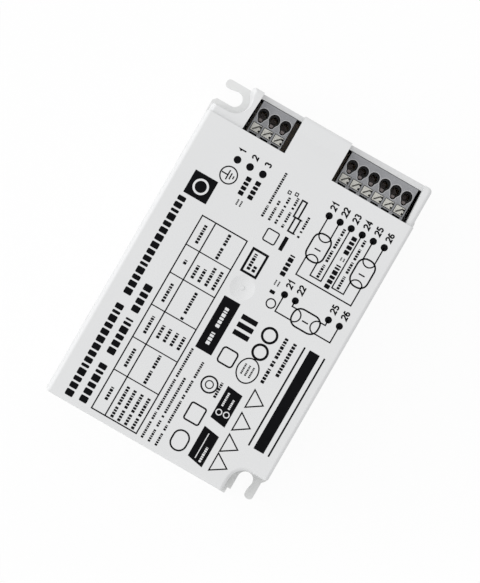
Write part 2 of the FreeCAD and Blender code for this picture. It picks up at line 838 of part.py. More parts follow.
# Terminal block: wire entries, guides for the release buttons and a spring chamber for each pole
def make_terminal_block(name, first, count, half, centre):
    body = new_body(name)
    pad(body, "XY", (board_top, block_top), rectangle(centre - half, centre + half, block_inner, block_outer))
    bow = block_outer - s.mouth_inset - s.mouth_radius
    straight = bow - s.mouth_straight
    narrow_y = mouth_tip + s.mouth_tip_radius
    mouth = [
        (first - s.mouth_radius, straight),
        (first - s.mouth_tip_radius, narrow_y),
        (first + s.mouth_tip_radius, narrow_y, first, narrow_y, 1),
        (first + s.mouth_radius, straight),
        (first + s.mouth_radius, bow),
        (first - s.mouth_radius, bow, first, bow, 1),
    ]
    below_mouth = (chamber_top - s.overlap, mouth_floor + s.overlap)
    guide_x = around(first, s.button_width + 2 * s.button_gap)
    guide_floor = button_foot - s.button_travel - s.travel_gap
    window_x = around(first, s.window_width)
    window_y = block_outer - s.window_inset
    chamber_x = around(first, s.chamber_width)
    cuts = [
        pocket(body, "XY", (mouth_floor, above), mouth),
        pocket(body, "XY", below_mouth, circles=[(first, bow - s.entry_shift, s.entry_radius)]),
        pocket(body, "XY", below_mouth, rectangle(first - s.mouth_tip_radius, first + s.mouth_tip_radius,
                                                  mouth_tip, mouth_tip + s.leaf_slot_length)),
        pocket(body, "XY", (guide_floor, above), rectangle(
            guide_x[0], guide_x[1], button_y[0] - s.button_gap, button_y[1] + s.button_gap)),
        pocket(body, "XY", (block_top - s.window_depth, above), rectangle(
            window_x[0], window_x[1], window_y - s.window_length, window_y)),
        pocket(body, "XY", (board_top - s.overlap, chamber_top), rectangle(
            chamber_x[0], chamber_x[1], chamber_back, block_outer - s.chamber_front)),
    ]
    repeat(body, cuts, count, s.pole_pitch)
    return body


# Release button: a square plunger with a driver slot, two notches and a retaining lug
def make_button(name, x):
    button = new_body(name)
    wide = around(x, s.button_width)
    top_level = block_top + s.button_proud
    pad(button, "XY", (button_foot, top_level), rectangle(wide[0], wide[1], button_y[0], button_y[1]))
    lug_x = around(x, s.chamber_width - 2 * s.lug_gap)
    pad(button, "XY", (button_foot, button_foot + s.lug_height), rectangle(
        lug_x[0], lug_x[1], button_y[0] - s.lug_reach, button_y[0] + s.overlap))
    slant = math.sqrt(0.5)
    middle = (button_y[0] + button_y[1]) / 2
    reach = s.driver_slot_length / 2 * slant
    half_slot = s.driver_slot_width / 2 * slant
    slot = [
        (x - reach + half_slot, middle - reach - half_slot),
        (x + reach + half_slot, middle + reach - half_slot),
        (x + reach - half_slot, middle + reach + half_slot),
        (x - reach - half_slot, middle - reach + half_slot),
    ]
    pocket(button, "XY", (top_level - s.driver_slot_depth, top_level + s.overlap), slot)
    for end in (-1, 1):
        notch_y = around(middle + end * s.notch_spacing / 2, s.notch_width)
        pocket(button, "XY", (top_level - s.notch_height, top_level + s.overlap), rectangle(
            wide[1] - s.notch_depth, wide[1] + s.overlap, notch_y[0], notch_y[1]))
    return button


# Clamp spring: one folded leaf that stands on the board and shows in the narrow end of the wire entry
def make_spring(name, x):
    spring = new_body(name)
    half = s.leaf_thickness / 2
    foot_y = contact_y - s.contact_thickness / 2 - s.leaf_foot_gap - half
    upright_y = mouth_tip + s.leaf_inset
    knee_y = button_y[0] + s.leaf_knee_inset
    tip_level = block_top - s.leaf_tip_level
    path = new_sketch(spring, "YZ", x)
    points = [(foot_y, board_top + half), (upright_y, board_top + half),
              (knee_y, button_foot - s.leaf_knee_drop), (upright_y, chamber_top - s.leaf_shoulder_drop),
              (upright_y, tip_level), (upright_y + s.leaf_tip_reach, tip_level)]
    lines = []
    for a, b in zip(points, points[1:]):
        start = FreeCAD.Vector(a[0].value, a[1].value, 0)
        end = FreeCAD.Vector(b[0].value, b[1].value, 0)
        lines.append(path.addGeometry(Part.LineSegment(start, end)))
    for a, b in zip(lines, lines[1:]):
        path.addConstraint(Sketcher.Constraint("Coincident", a, 2, b, 1))
    for line, point in zip(lines, points):
        fix(path, line, 1, point)
    fix(path, lines[-1], 2, points[-1])
    section = new_sketch(spring, "XZ", -foot_y)
    wide = around(x, s.leaf_width)
    draw_outline(section, rectangle(wide[0], wide[1], board_top, board_top + s.leaf_thickness))
    pipe = spring.newObject("PartDesign::AdditivePipe", name + "_leaf")
    pipe.Profile = section
    pipe.Spine = (path, [])
    pipe.Transition = "Right corner"
    spring.Tip = pipe
    return spring


def make_contacts(name, first, count):
    """Clamping bars with their solder pins, one for each pole."""
    bars = []
    thick = around(contact_y, s.contact_thickness)
    for i in range(count):
        x = first + s.pole_pitch * i
        bar = block(f"{name}_bar_{i + 1}", around(x, s.contact_width), thick,
                    (board_top, board_top + s.contact_height))
        pin = block(f"{name}_pin_{i + 1}", around(x, s.pin_width), thick,
                    (board_top - s.pin_length, board_top + s.overlap))
        bars.append(fuse(f"{name}_{i + 1}", [bar, pin]))
    return keep(group(name, bars), name)


# Wound parts: closed ferrite core, bobbin on the middle leg, winding on the bobbin
def make_wound_part(name, length, height, leg):
    x, y = place(name)
    ends = around(y, length * along)
    middle = board_top + height / 2
    half_leg = leg / 2
    yoke_end = s.core_yoke * along
    opening = (ends[0] + yoke_end, ends[1] - yoke_end)
    overlap = s.overlap

    def tube(part, reach_x, reach_z, span):
        """A box along the middle leg, given by how far it reaches from the leg's centre."""
        return block(f"{name}_{part}", around(x, 2 * reach_x * across), span, around(middle, 2 * reach_z))

    side_reach = half_leg + s.window_room
    outer = tube("core_outer", side_reach + s.core_yoke, half_leg + s.core_yoke, ends)
    room = tube("core_room", side_reach, half_leg + s.core_yoke + overlap, opening)
    centre_leg = tube("core_leg", half_leg, half_leg, around(y, (length - s.core_yoke) * along))
    keep(fuse(name + "_core_whole", [cut(name + "_core_ring", outer, room), centre_leg]), name + "_core")
    clear = half_leg + s.bobbin_gap
    wall = clear + s.bobbin_wall
    flange = side_reach - s.flange_gap
    span = (opening[0] + s.bobbin_gap, opening[1] - s.bobbin_gap)
    barrel = tube("tube", wall, wall, span)
    flanges = [tube(f"flange_{i}", flange, height / 2, edges) for i, edges in enumerate(
        ((span[0], span[0] + s.flange_thickness), (span[1] - s.flange_thickness, span[1])))]
    bore = tube("bore", clear, clear, (span[0] - overlap, span[1] + overlap))
    keep(cut(name + "_bobbin_cut", fuse(name + "_bobbin_solid", [barrel] + flanges), bore), name + "_bobbin")
    inset = s.flange_thickness + s.winding_gap
    wound = (span[0] + inset, span[1] - inset)
    coil_reach = flange - s.winding_inset
    coil = bevel(name + "_coil_bevel", tube("coil", coil_reach, coil_reach, wound), s.winding_chamfer * round_fit,
                 lambda edge: edge.BoundBox.YLength > max(edge.BoundBox.XLength, edge.BoundBox.ZLength))
    inside = wall + s.winding_gap
    void = tube("coil_void", inside, inside, (wound[0] - overlap, wound[1] + overlap))
    keep(cut(name + "_coil_cut", coil, void), name + "_winding")


def leads(name, places, height):
    """Square lead stubs from the board up to a case."""
    return [block(f"{name}_lead_{i}", around(x, s.lead_width), around(y, s.lead_width), (board_top, height))
            for i, (x, y) in enumerate(places)]


def make_boxed(name, size_x, size_y, height):
    """A potted case with bevelled upright edges that stands on the board."""
    x, y = place(name)
    case = block(name + "_case", around(x, size_x * across), around(y, size_y * along),
                 (board_top, board_top + height))
    return keep(bevel(name + "_bevel", case, s.film_edge_chamfer, is_upright), name)


def lying(name, x, y, z, radius, length):
    """A cylinder that lies along Y from a point of its axis."""
    cylinder = doc.addObject("Part::Cylinder", name)
    cylinder.Placement.Rotation = FreeCAD.Rotation(FreeCAD.Vector(1, 0, 0), -90)
    bind(cylinder, "Radius", radius)
    bind(cylinder, "Height", length)
    for axis, size in zip("xyz", (x, y, z)):
        bind(cylinder, "Placement.Base." + axis, size)
    return cylinder


def make_disc(name, radius):
    """A lacquered disc on two leads."""
    x, y = place(name)
    radius = radius * round_fit
    thickness = s.disc_thickness * along
    centre = board_top + s.lead_height + radius
    disc = lying(name + "_disc", x, y - thickness / 2, centre, radius, thickness)
    stubs = leads(name, [(x - radius / 2, y), (x + radius / 2, y)], centre)
    return keep(fuse(name + "_whole", [disc] + stubs), name)


def make_power_transistor(name):
    """A moulded case with a drilled tab above it, on three leads."""
    x, y = place(name)
    low = board_top + s.power_lead_height
    tab_top = ceiling - s.power_ceiling_gap
    tab_height = (tab_top - low) * TAB_SHARE
    high = tab_top - tab_height
    wide = around(x, s.power_case_width * across)
    deep = around(y, s.power_case_depth * along)
    case = block(name + "_case", wide, deep, (low, high))
    tab = block(name + "_tab", wide, (deep[0], deep[0] + s.power_tab_thickness), (high - s.overlap, tab_top))
    hole = lying(name + "_hole", x, deep[0] - s.overlap, high + tab_height / 2, s.power_tab_hole * across,
                 s.power_tab_thickness + 2 * s.overlap)
    pitch = s.power_lead_pitch * across
    pins = leads(name, [(x - pitch, y), (x, y), (x + pitch, y)], low + s.overlap)
    return keep(fuse(name + "_whole", [case, cut(name + "_tab_cut", tab, hole)] + pins), name)


def make_bulk_capacitor(name):
    """A sleeved can with one bevelled end that lies on the board."""
    x, y = place(name)
    can = new_body(name)
    radius = s.bulk_radius * round_fit
    length = s.bulk_length * across
    bevel_size = s.bulk_chamfer
    sketch = new_sketch(can, "XZ", -y, origin=(x - length / 2, board_top + radius))
    draw_outline(sketch, [(0, 0), (length, 0), (length, radius - bevel_size), (length - bevel_size, radius),
                          (0, radius)])
    turn = can.newObject("PartDesign::Revolution", name + "_turn")
    turn.Profile = sketch
    turn.ReferenceAxis = (sketch, ["H_Axis"])
    turn.Angle = 360
    can.Tip = turn
    return can


def make_diode(name):
    """A cylinder diode that lies on the board between two bent leads."""
    x, y = place(name)
    radius = s.diode_radius * round_fit
    length = s.diode_length * along
    barrel = lying(name + "_barrel", x, y - length / 2, board_top + radius, radius, length)
    reach = length / 2 + s.diode_lead_reach * along
    height = board_top + radius + s.lead_width / 2
    wire = block(name + "_wire", around(x, s.lead_width), (y - reach, y + reach), (height - s.lead_width, height))
    feet = leads(name, [(x, y - reach), (x, y + reach)], height)
    return keep(fuse(name + "_whole", [barrel, wire] + feet), name)


def make_control_chip(name):
    """A flat moulded package with leads along both long sides."""
    x, y = place(name)
    case = block(name + "_case", around(x, s.chip_width * across), around(y, s.chip_length * along),
                 (board_top, board_top + s.chip_height))
    legs = []
    for i in range(CHIP_LEADS):
        row = y + s.chip_lead_pitch * (i - (CHIP_LEADS - 1) / 2) * along
        legs.append(block(f"{name}_leg_{i}", around(x, (s.chip_width + 2 * s.chip_lead_reach) * across),
                          around(row, s.chip_lead_width), (board_top, board_top + s.chip_lead_width)))
    return keep(fuse(name + "_whole", [case] + legs), name)


def make_chip_resistors(name):
    """A row of small flat resistors."""
    x, y = place(name)
    chips = []
    for i in range(RESISTORS):
        row = y + s.resistor_pitch * (i - (RESISTORS - 1) / 2) * along
        chips.append(block(f"{name}_{i}", around(x, s.resistor_length * across),
                           around(row, s.resistor_width * along),
                           (board_top, board_top + s.resistor_height)))
    return keep(group(name + "_row", chips), name)


make_cover()
make_base_tray()
make_circuit_board()
make_terminal_block("mains_terminal_block", mains_left, MAINS_POLES, mains_half, mains_centre)
make_terminal_block("lamp_terminal_block", lamp_left, LAMP_POLES, lamp_half, lamp_centre)
for side_name, first_pole, poles in (("mains", mains_left, MAINS_POLES), ("lamp", lamp_left, LAMP_POLES)):
    for pole in range(poles):
        make_button(f"{side_name}_button_{pole + 1}", first_pole + s.pole_pitch * pole)
        make_spring(f"{side_name}_spring_{pole + 1}", first_pole + s.pole_pitch * pole)
make_contacts("mains_contacts", mains_left, MAINS_POLES)
make_contacts("lamp_contacts", lamp_left, LAMP_POLES)

# Mains side: fuse, surge and noise parts, rectifier
small_wound = (s.transformer_length, s.transformer_height, s.transformer_leg)
large_wound = (s.choke_length, s.choke_height, s.core_leg)
large_film = (s.film_length, s.film_width, s.film_height)
small_film = (s.small_film_width, s.small_film_length, s.small_film_height)
make_wound_part("noise_choke", *small_wound)
make_boxed("input_fuse", s.fuse_length, s.fuse_width, s.fuse_height)
make_disc("varistor", s.disc_radius)
make_boxed("noise_capacitor", *large_film)
make_disc("safety_capacitor", s.small_disc_radius)
make_boxed("bridge_rectifier", s.bridge_width, s.bridge_length, s.bridge_height)
make_boxed("input_capacitor", *large_film)

# Boost stage and storage
make_wound_part("boost_choke", *large_wound)
make_bulk_capacitor("bulk_capacitor")
make_power_transistor("boost_transistor")
make_diode("boost_diode")

# Lamp side: half bridge, resonant chokes and capacitors, filament heating
make_wound_part("lamp_choke_1", *large_wound)
make_wound_part("lamp_choke_2", *large_wound)
make_power_transistor("bridge_transistor_1")
make_power_transistor("bridge_transistor_2")
make_boxed("lamp_capacitor_1", *small_film)
make_boxed("lamp_capacitor_2", *small_film)
make_wound_part("heating_transformer", *small_wound)
make_control_chip("control_chip")
make_chip_resistors("chip_resistors")

doc.recompute()
failed = [thing.Name for thing in doc.Objects if "Invalid" in thing.State or "Error" in thing.State]
failed += [thing.Name for thing in nodes if thing.Shape.isNull() or not thing.Shape.isValid()]
if failed:
    raise RuntimeError("these objects failed: " + ", ".join(failed))
os.makedirs("parts", exist_ok=True)
for thing in nodes:
    thing.Shape.exportStep(f"parts/{thing.Label}.step")
print(len(nodes), "sub-parts written")
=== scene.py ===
"""Looks of a compact electronic ballast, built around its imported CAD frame."""
import bpy
import itertools
import json
import math
from mathutils import Matrix, Vector


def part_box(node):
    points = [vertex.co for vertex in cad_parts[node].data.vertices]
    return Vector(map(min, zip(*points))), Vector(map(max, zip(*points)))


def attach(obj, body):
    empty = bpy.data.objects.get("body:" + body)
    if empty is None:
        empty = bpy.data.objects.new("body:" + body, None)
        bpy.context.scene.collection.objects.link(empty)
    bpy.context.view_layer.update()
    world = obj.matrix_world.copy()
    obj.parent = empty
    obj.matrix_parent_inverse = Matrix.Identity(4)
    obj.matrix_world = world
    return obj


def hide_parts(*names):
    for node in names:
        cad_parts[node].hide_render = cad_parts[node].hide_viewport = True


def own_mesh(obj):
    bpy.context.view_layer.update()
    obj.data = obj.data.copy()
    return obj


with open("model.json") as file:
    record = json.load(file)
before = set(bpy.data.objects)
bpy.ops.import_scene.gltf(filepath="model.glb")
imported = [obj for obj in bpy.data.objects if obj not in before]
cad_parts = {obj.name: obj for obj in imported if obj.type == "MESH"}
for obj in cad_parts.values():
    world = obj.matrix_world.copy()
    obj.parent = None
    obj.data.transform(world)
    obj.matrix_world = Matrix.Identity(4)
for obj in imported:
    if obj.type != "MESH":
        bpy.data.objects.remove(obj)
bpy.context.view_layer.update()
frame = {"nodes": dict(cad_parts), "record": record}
nodes = frame["nodes"]

MM = 0.001
MICRON = 0.000001
HOUSING = "housing"
ROOF_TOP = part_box("cover")[1].z
BLOCK_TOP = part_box("mains_terminal_block")[1].z
BUTTON_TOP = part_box("mains_button_1")[1].z

# Materials
NOISE_ROUGHNESS = 0.55
RAMP_START = 0.3
RAMP_END = 0.7
GLOSS_SPREAD = 0.06
GRAIN_STRENGTH = 0.6


def new_material(name):
    material = bpy.data.materials.new(name)
    material.use_nodes = True
    tree = material.node_tree
    return material, tree, tree.nodes["Principled BSDF"]


def noise(tree, scale, detail=3.0, stretch=None):
    """A noise in the object's own coordinates, with scale per metre."""
    vector = tree.nodes.new("ShaderNodeTexCoord").outputs["Object"]
    if stretch:
        mapping = tree.nodes.new("ShaderNodeMapping")
        mapping.inputs["Scale"].default_value = stretch
        tree.links.new(vector, mapping.inputs["Vector"])
        vector = mapping.outputs["Vector"]
    texture = tree.nodes.new("ShaderNodeTexNoise")
    texture.inputs["Scale"].default_value = scale
    texture.inputs["Detail"].default_value = detail
    texture.inputs["Roughness"].default_value = NOISE_ROUGHNESS
    tree.links.new(vector, texture.inputs["Vector"])
    return texture


def ramp(tree, source, low, high):
    """Turns a noise into values or colours between low and high."""
    node = tree.nodes.new("ShaderNodeValToRGB")
    for element, place, value in zip(node.color_ramp.elements, (RAMP_START, RAMP_END), (low, high)):
        element.position = place
        element.color = (*value, 1.0) if isinstance(value, tuple) else (value, value, value, 1.0)
    tree.links.new(source.outputs["Fac"], node.inputs["Fac"])
    return node


def shade(color, factor):
    return tuple(c * factor for c in color)


def surface(name, color, roughness, grain, height, spread, cloud, metallic=0.0, coat=0.0, stretch=None):
    """A material with clouded colour, uneven roughness and a fine raised grain.

    grain and cloud are texture scales per metre, height is the grain's height in microns, and spread
    is how far the colour strays from its middle, as a share of it."""
    material, tree, shader = new_material(name)
    shader.inputs["Metallic"].default_value = metallic
    shader.inputs["Coat Weight"].default_value = coat
    tint = ramp(tree, noise(tree, cloud), shade(color, 1 - spread), shade(color, 1 + spread))
    tree.links.new(tint.outputs["Color"], shader.inputs["Base Color"])
    fine = noise(tree, grain, detail=2.0, stretch=stretch)
    gloss = ramp(tree, fine, roughness - GLOSS_SPREAD, roughness + GLOSS_SPREAD)
    tree.links.new(gloss.outputs["Color"], shader.inputs["Roughness"])
    bump = tree.nodes.new("ShaderNodeBump")
    bump.inputs["Strength"].default_value = GRAIN_STRENGTH
    bump.inputs["Distance"].default_value = height * MICRON
    tree.links.new(fine.outputs["Fac"], bump.inputs["Height"])
    tree.links.new(bump.outputs["Normal"], shader.inputs["Normal"])
    return material


cover_plastic = surface("cover_plastic", (0.745, 0.75, 0.755), 0.52, 2600, 12, spread=0.008, cloud=35)
tray_plastic = surface("tray_plastic", (0.77, 0.775, 0.77), 0.55, 2400, 14, spread=0.01, cloud=45)
block_plastic = surface("block_plastic", (0.315, 0.32, 0.335), 0.5, 3200, 10, spread=0.05, cloud=300)
# A paler grey for the painted highlights on the rims of the terminal mouths
block_rim_highlight = surface("block_rim_highlight", (0.50, 0.50, 0.51), 0.4, 3200, 4, spread=0.05, cloud=500)
button_plastic = surface("button_plastic", (0.66, 0.65, 0.60), 0.42, 3500, 8, spread=0.05, cloud=500)
spring_steel = surface("spring_steel", (0.25, 0.22, 0.215), 0.45, 4000, 4, spread=0.12, cloud=900,
                       metallic=1.0, stretch=(1, 1, 0.1))
contact_metal = surface("contact_metal", (0.72, 0.62, 0.55), 0.36, 3000, 4, spread=0.08, cloud=700,
                        metallic=1.0)
board_laminate = surface("board_laminate", (0.30, 0.17, 0.045), 0.4, 1800, 6, spread=0.15, cloud=180,
                         coat=0.3)
dark_case = surface("dark_case", (0.018, 0.018, 0.019), 0.5, 2600, 8, spread=0.12, cloud=250)
lacquer = surface("lacquer", (0.02, 0.07, 0.30), 0.3, 900, 20, spread=0.12, cloud=200, coat=0.4)
film_case = surface("film_case", (0.62, 0.42, 0.04), 0.38, 1500, 8, spread=0.06, cloud=150)
red_case = surface("red_case", (0.32, 0.03, 0.02), 0.35, 1500, 8, spread=0.08, cloud=150)
sleeve = surface("sleeve", (0.012, 0.012, 0.016), 0.28, 700, 12, spread=0.1, cloud=90, coat=0.5)
ferrite = surface("ferrite", (0.045, 0.045, 0.048), 0.55, 2200, 16, spread=0.15, cloud=260, metallic=0.4)
bobbin_plastic = surface("bobbin_plastic", (0.02, 0.02, 0.02), 0.45, 2600, 8, spread=0.1, cloud=250)
ink = surface("ink", (0.004, 0.004, 0.005), 0.6, 3000, 3, spread=0.2, cloud=600)
ink.node_tree.nodes["Principled BSDF"].inputs["Specular IOR Level"].default_value = 0.05


def winding_material():
    """Enamelled wire: close turns side by side."""
    material, tree, shader = new_material("enamelled_copper")
    shader.inputs["Metallic"].default_value = 0.85
    shader.inputs["Roughness"].default_value = 0.3
    tint = ramp(tree, noise(tree, 400), (0.40, 0.13, 0.045), (0.55, 0.20, 0.07))
    tree.links.new(tint.outputs["Color"], shader.inputs["Base Color"])
    coordinates = tree.nodes.new("ShaderNodeTexCoord")
    wave = tree.nodes.new("ShaderNodeTexWave")
    wave.bands_direction = "Y"
    wave.inputs["Scale"].default_value = 900
    wave.inputs["Distortion"].default_value = 0.4
    bump = tree.nodes.new("ShaderNodeBump")
    bump.inputs["Distance"].default_value = 120 * MICRON
    tree.links.new(coordinates.outputs["Object"], wave.inputs["Vector"])
    tree.links.new(wave.outputs["Fac"], bump.inputs["Height"])
    tree.links.new(bump.outputs["Normal"], shader.inputs["Normal"])
    return material


enamelled_copper = winding_material()


def paint_shade_below(material, high, low, factor):
    """Painted shade: darkens a colour with depth, down to a share of it at low, standing for the shade
    inside deep moulded pockets.
    """
    tree = material.node_tree
    base_color = tree.nodes["Principled BSDF"].inputs["Base Color"]
    source = base_color.links[0].from_socket
    coordinates = tree.nodes.new("ShaderNodeTexCoord")
    split = tree.nodes.new("ShaderNodeSeparateXYZ")
    depth = tree.nodes.new("ShaderNodeMapRange")
    depth.inputs["From Min"].default_value = low
    depth.inputs["From Max"].default_value = high
    depth.inputs["To Min"].default_value = factor
    scaled = tree.nodes.new("ShaderNodeVectorMath")
    scaled.operation = "SCALE"
    tree.links.new(coordinates.outputs["Object"], split.inputs["Vector"])
    tree.links.new(split.outputs["Z"], depth.inputs["Value"])
    tree.links.new(source, scaled.inputs[0])
    tree.links.new(depth.outputs["Result"], scaled.inputs["Scale"])
    tree.links.new(scaled.outputs["Vector"], base_color)


# Painted shade in the terminal mouths and the button slots: the block and button colours darken below
# their tops
PAINTED_SHADE_START = 0.3 * MM
MOUTH_PAINTED_SHADE_END = 3.0 * MM
SLOT_PAINTED_SHADE_END = 2.0 * MM
paint_shade_below(block_plastic, BLOCK_TOP - PAINTED_SHADE_START, BLOCK_TOP - MOUTH_PAINTED_SHADE_END, 0.12)
paint_shade_below(button_plastic, BUTTON_TOP - PAINTED_SHADE_START, BUTTON_TOP - SLOT_PAINTED_SHADE_END, 0.08)

# Which finish a node gets, by the first of these that its name holds
FINISHES = {
    "cover": cover_plastic,
    "base_tray": tray_plastic,
    "circuit_board": board_laminate,
    "terminal_block": block_plastic,
    "button": button_plastic,
    "spring": spring_steel,
    "contacts": contact_metal,
    "varistor": lacquer,
    "safety_capacitor": lacquer,
    "noise_capacitor": film_case,
    "input_capacitor": film_case,
    "lamp_capacitor": red_case,
    "bulk_capacitor": sleeve,
    "_core": ferrite,
    "_bobbin": bobbin_plastic,
    "_winding": enamelled_copper,
}


def finish_of(name):
    for part, material in FINISHES.items():
        if part in name:
            return material
    return dark_case


def dress(obj, material):
    obj.data.materials.clear()
    obj.data.materials.append(material)


for node_name, node in nodes.items():
    dress(node, finish_of(node_name))


def flexing_leaf(spring):
    """A copy of a spring in spring steel, attached to the housing, with the spring itself hidden."""
    leaf = bpy.data.objects.new(spring.replace("spring", "leaf"), nodes[spring].data.copy())
    bpy.context.scene.collection.objects.link(leaf)
    dress(leaf, spring_steel)
    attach(leaf, HOUSING)
    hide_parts(spring)
    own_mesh(leaf)


for node_name in sorted(nodes):
    if "_spring_" in node_name:
        flexing_leaf(node_name)


# Outlines, in millimetres and degrees
def unit(x, y):
    length = math.hypot(x, y) or 1.0
    return x / length, y / length


def arc(x, y, radius, start, end, steps=20):
    angles = [math.radians(start + (end - start) * i / steps) for i in range(steps + 1)]
    return [(x + radius * math.cos(a), y + radius * math.sin(a)) for a in angles]


def oval(x, y, radius, steps, narrow=1.0):
    """A closed round outline, made narrow across X where asked."""
    angles = [2 * math.pi * i / steps for i in range(steps)]
    return [(x + radius * narrow * math.cos(a), y + radius * math.sin(a)) for a in angles]


def rounded(x0, x1, y0, y1, radius, steps=6):
    """The corners of a rectangle with round corners, turning left."""
    centres = ((x1 - radius, y0 + radius, -90), (x1 - radius, y1 - radius, 0),
               (x0 + radius, y1 - radius, 90), (x0 + radius, y0 + radius, 180))
    return [point for x, y, start in centres for point in arc(x, y, radius, start, start + 90, steps)]


# Figures as strokes: across the text first, then up from its foot
FIGURE_HEIGHT = 2.1
FIGURE_WIDTH = 1.3
STROKE = 0.44
FIGURES = {
    "1": [[(0.16, 1.42), (0.45, 1.58), (0.64, 1.86), (0.64, 0.0)]],
    "2": [arc(0.56, 1.38, 0.46, 172, -38, steps=12) + [(0.14, 0.19), (1.06, 0.19)]],
    "3": [arc(0.53, 1.44, 0.4, 155, -78, steps=12), arc(0.53, 0.62, 0.45, 82, -158, steps=12)],
    "4": [[(0.78, 0.0), (0.78, 1.82), (0.12, 0.62), (1.12, 0.62)]],
    "5": [[(1.0, 1.86), (0.32, 1.86), (0.2, 1.0)], arc(0.53, 0.65, 0.47, 135, -158, steps=14)],
    "6": [arc(0.56, 0.63, 0.43, 0, 360), [(0.13, 0.75), (0.2, 1.3), (0.5, 1.8), (0.96, 1.66)]],
}

# Rows of blank blocks: widths, height, gap and rounding of the blocks, as shares of the row's height
BLOCK_WIDTHS = (0.95, 0.85, 0.7, 1.0, 0.45, 0.8, 0.75, 0.9)
BLOCK_HEIGHT = 1.2
BLOCK_GAP = 0.27
BLOCK_ROUND = 0.15

# How deep print sits in its face and how far it stands out, and the widths of its lines
PRINT_SINK = 0.010 * MM
PRINT_RISE = 0.015 * MM
PALE_RISE = 0.030 * MM
LINE = 0.38
THIN = 0.32
BOLD = 0.48
BAR_ROUND = 0.12
# A little over 2, so that the round corners of a short side stay apart
ROUND_DIVISOR = 2.01
# The least cosine that a mitre widens for
SHARPEST_MITRE = 0.35


class Print:
    """Collects flat shapes, laid out in millimetres, and turns them into one thin mesh on a level face."""

    def __init__(self, name, material, low=-PRINT_SINK, high=PRINT_RISE, level=ROOF_TOP):
        self.name = name
        self.material = material
        self.low = level + low
        self.high = level + high
        self.vertices = []
        self.faces = []

    def plate(self, outline):
        """A flat shape inside one closed outline that turns left."""
        count = len(outline)
        start = len(self.vertices)
        for z in (self.low, self.high):
            self.vertices += [(x * MM, y * MM, z) for x, y in outline]
        self.faces.append([start + count + i for i in range(count)])
        self.faces.append([start + i for i in reversed(range(count))])
        for i in range(count):
            j = (i + 1) % count
            self.faces.append([start + i, start + j, start + count + j, start + count + i])

    def line(self, points, width, closed=False):
        """A line of even width through points, with mitred corners."""
        left, right = [], []
        count = len(points)
        for i, (x, y) in enumerate(points):
            before = points[i - 1] if closed or i > 0 else None
            after = points[(i + 1) % count] if closed or i < count - 1 else None
            runs = ((before, (x, y)), ((x, y), after))
            sides = [unit(b[0] - a[0], b[1] - a[1]) for a, b in runs if a and b]
            along = unit(sum(d[0] for d in sides), sum(d[1] for d in sides))
            cosine = along[0] * sides[0][0] + along[1] * sides[0][1]
            spread = width / 2 / max(SHARPEST_MITRE, cosine)
            left.append((x - along[1] * spread, y + along[0] * spread))
            right.append((x + along[1] * spread, y - along[0] * spread))
        start = len(self.vertices)
        for z in (self.low, self.high):
            for a, b in zip(left, right):
                self.vertices += [(a[0] * MM, a[1] * MM, z), (b[0] * MM, b[1] * MM, z)]
        up = 2 * count
        for i in range(count if closed else count - 1):
            a = start + 2 * i
            b = start + 2 * ((i + 1) % count)
            self.faces += [[a + up, a + up + 1, b + up + 1, b + up], [a, b, b + 1, a + 1],
                           [a, a + up, b + up, b], [a + 1, b + 1, b + up + 1, a + up + 1]]
        if not closed:
            a = start
            b = start + 2 * (count - 1)
            self.faces += [[a, a + 1, a + up + 1, a + up], [b, b + up, b + up + 1, b + 1]]

    def bar(self, x0, x1, y0, y1, radius=BAR_ROUND, steps=6):
        """A rectangle with small round corners."""
        radius = min(radius, (x1 - x0) / ROUND_DIVISOR, (y1 - y0) / ROUND_DIVISOR)
        self.plate(rounded(x0, x1, y0, y1, radius, steps))

    def frame(self, x0, x1, y0, y1, width, radius=0.0):
        corners = rounded(x0, x1, y0, y1, radius) if radius else [(x0, y0), (x1, y0), (x1, y1), (x0, y1)]
        self.line(corners, width, closed=True)

    def disc(self, x, y, radius):
        self.plate(oval(x, y, radius, steps=32))

    def ring(self, x, y, radius, width, narrow=1.0):
        self.line(oval(x, y, radius, steps=40, narrow=narrow), width, closed=True)

    def blocks(self, x, height, *spans):
        """A row of blank blocks with its middle at x. Each span is where one stretch starts and ends."""
        half = height * BLOCK_HEIGHT / 2
        gap = height * BLOCK_GAP
        for low, high in spans:
            place = low
            for wide in itertools.cycle(BLOCK_WIDTHS):
                end = min(place + wide * height, high)
                self.bar(x - half, x + half, place, end, radius=height * BLOCK_ROUND, steps=2)
                place = end + gap
                if place > high - gap:
                    break

    def number(self, text, x, y):
        """A number centred on x, y that reads along +Y."""
        for place, figure in enumerate(text):
            left = y + (place - len(text) / 2) * FIGURE_WIDTH
            for stroke in FIGURES[figure]:
                self.line([(x + FIGURE_HEIGHT / 2 - up, left + across) for across, up in stroke], STROKE)

    def build(self):
        mesh = bpy.data.meshes.new(self.name)
        mesh.from_pydata(self.vertices, [], self.faces)
        mesh.validate()
        obj = bpy.data.objects.new(self.name, mesh)
        bpy.context.scene.collection.objects.link(obj)
        dress(obj, self.material)
        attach(obj, HOUSING)


# Print on the roof. X places are across the housing and Y places along it, from its middle
HEADING = 2.0
LABEL = 1.3
SMALL = 0.8
NOTE = 0.62
TINY = 0.35
MAINS_POLES = (-18.93, -14.91, -10.82)
LAMP_POLES = (10.89, 14.41, 17.96, 21.49, 25.03, 28.56)
LOWER_POLES = (11.09, 14.55, 25.15, 28.66)
FIRST_LAMP_NUMBER = 21


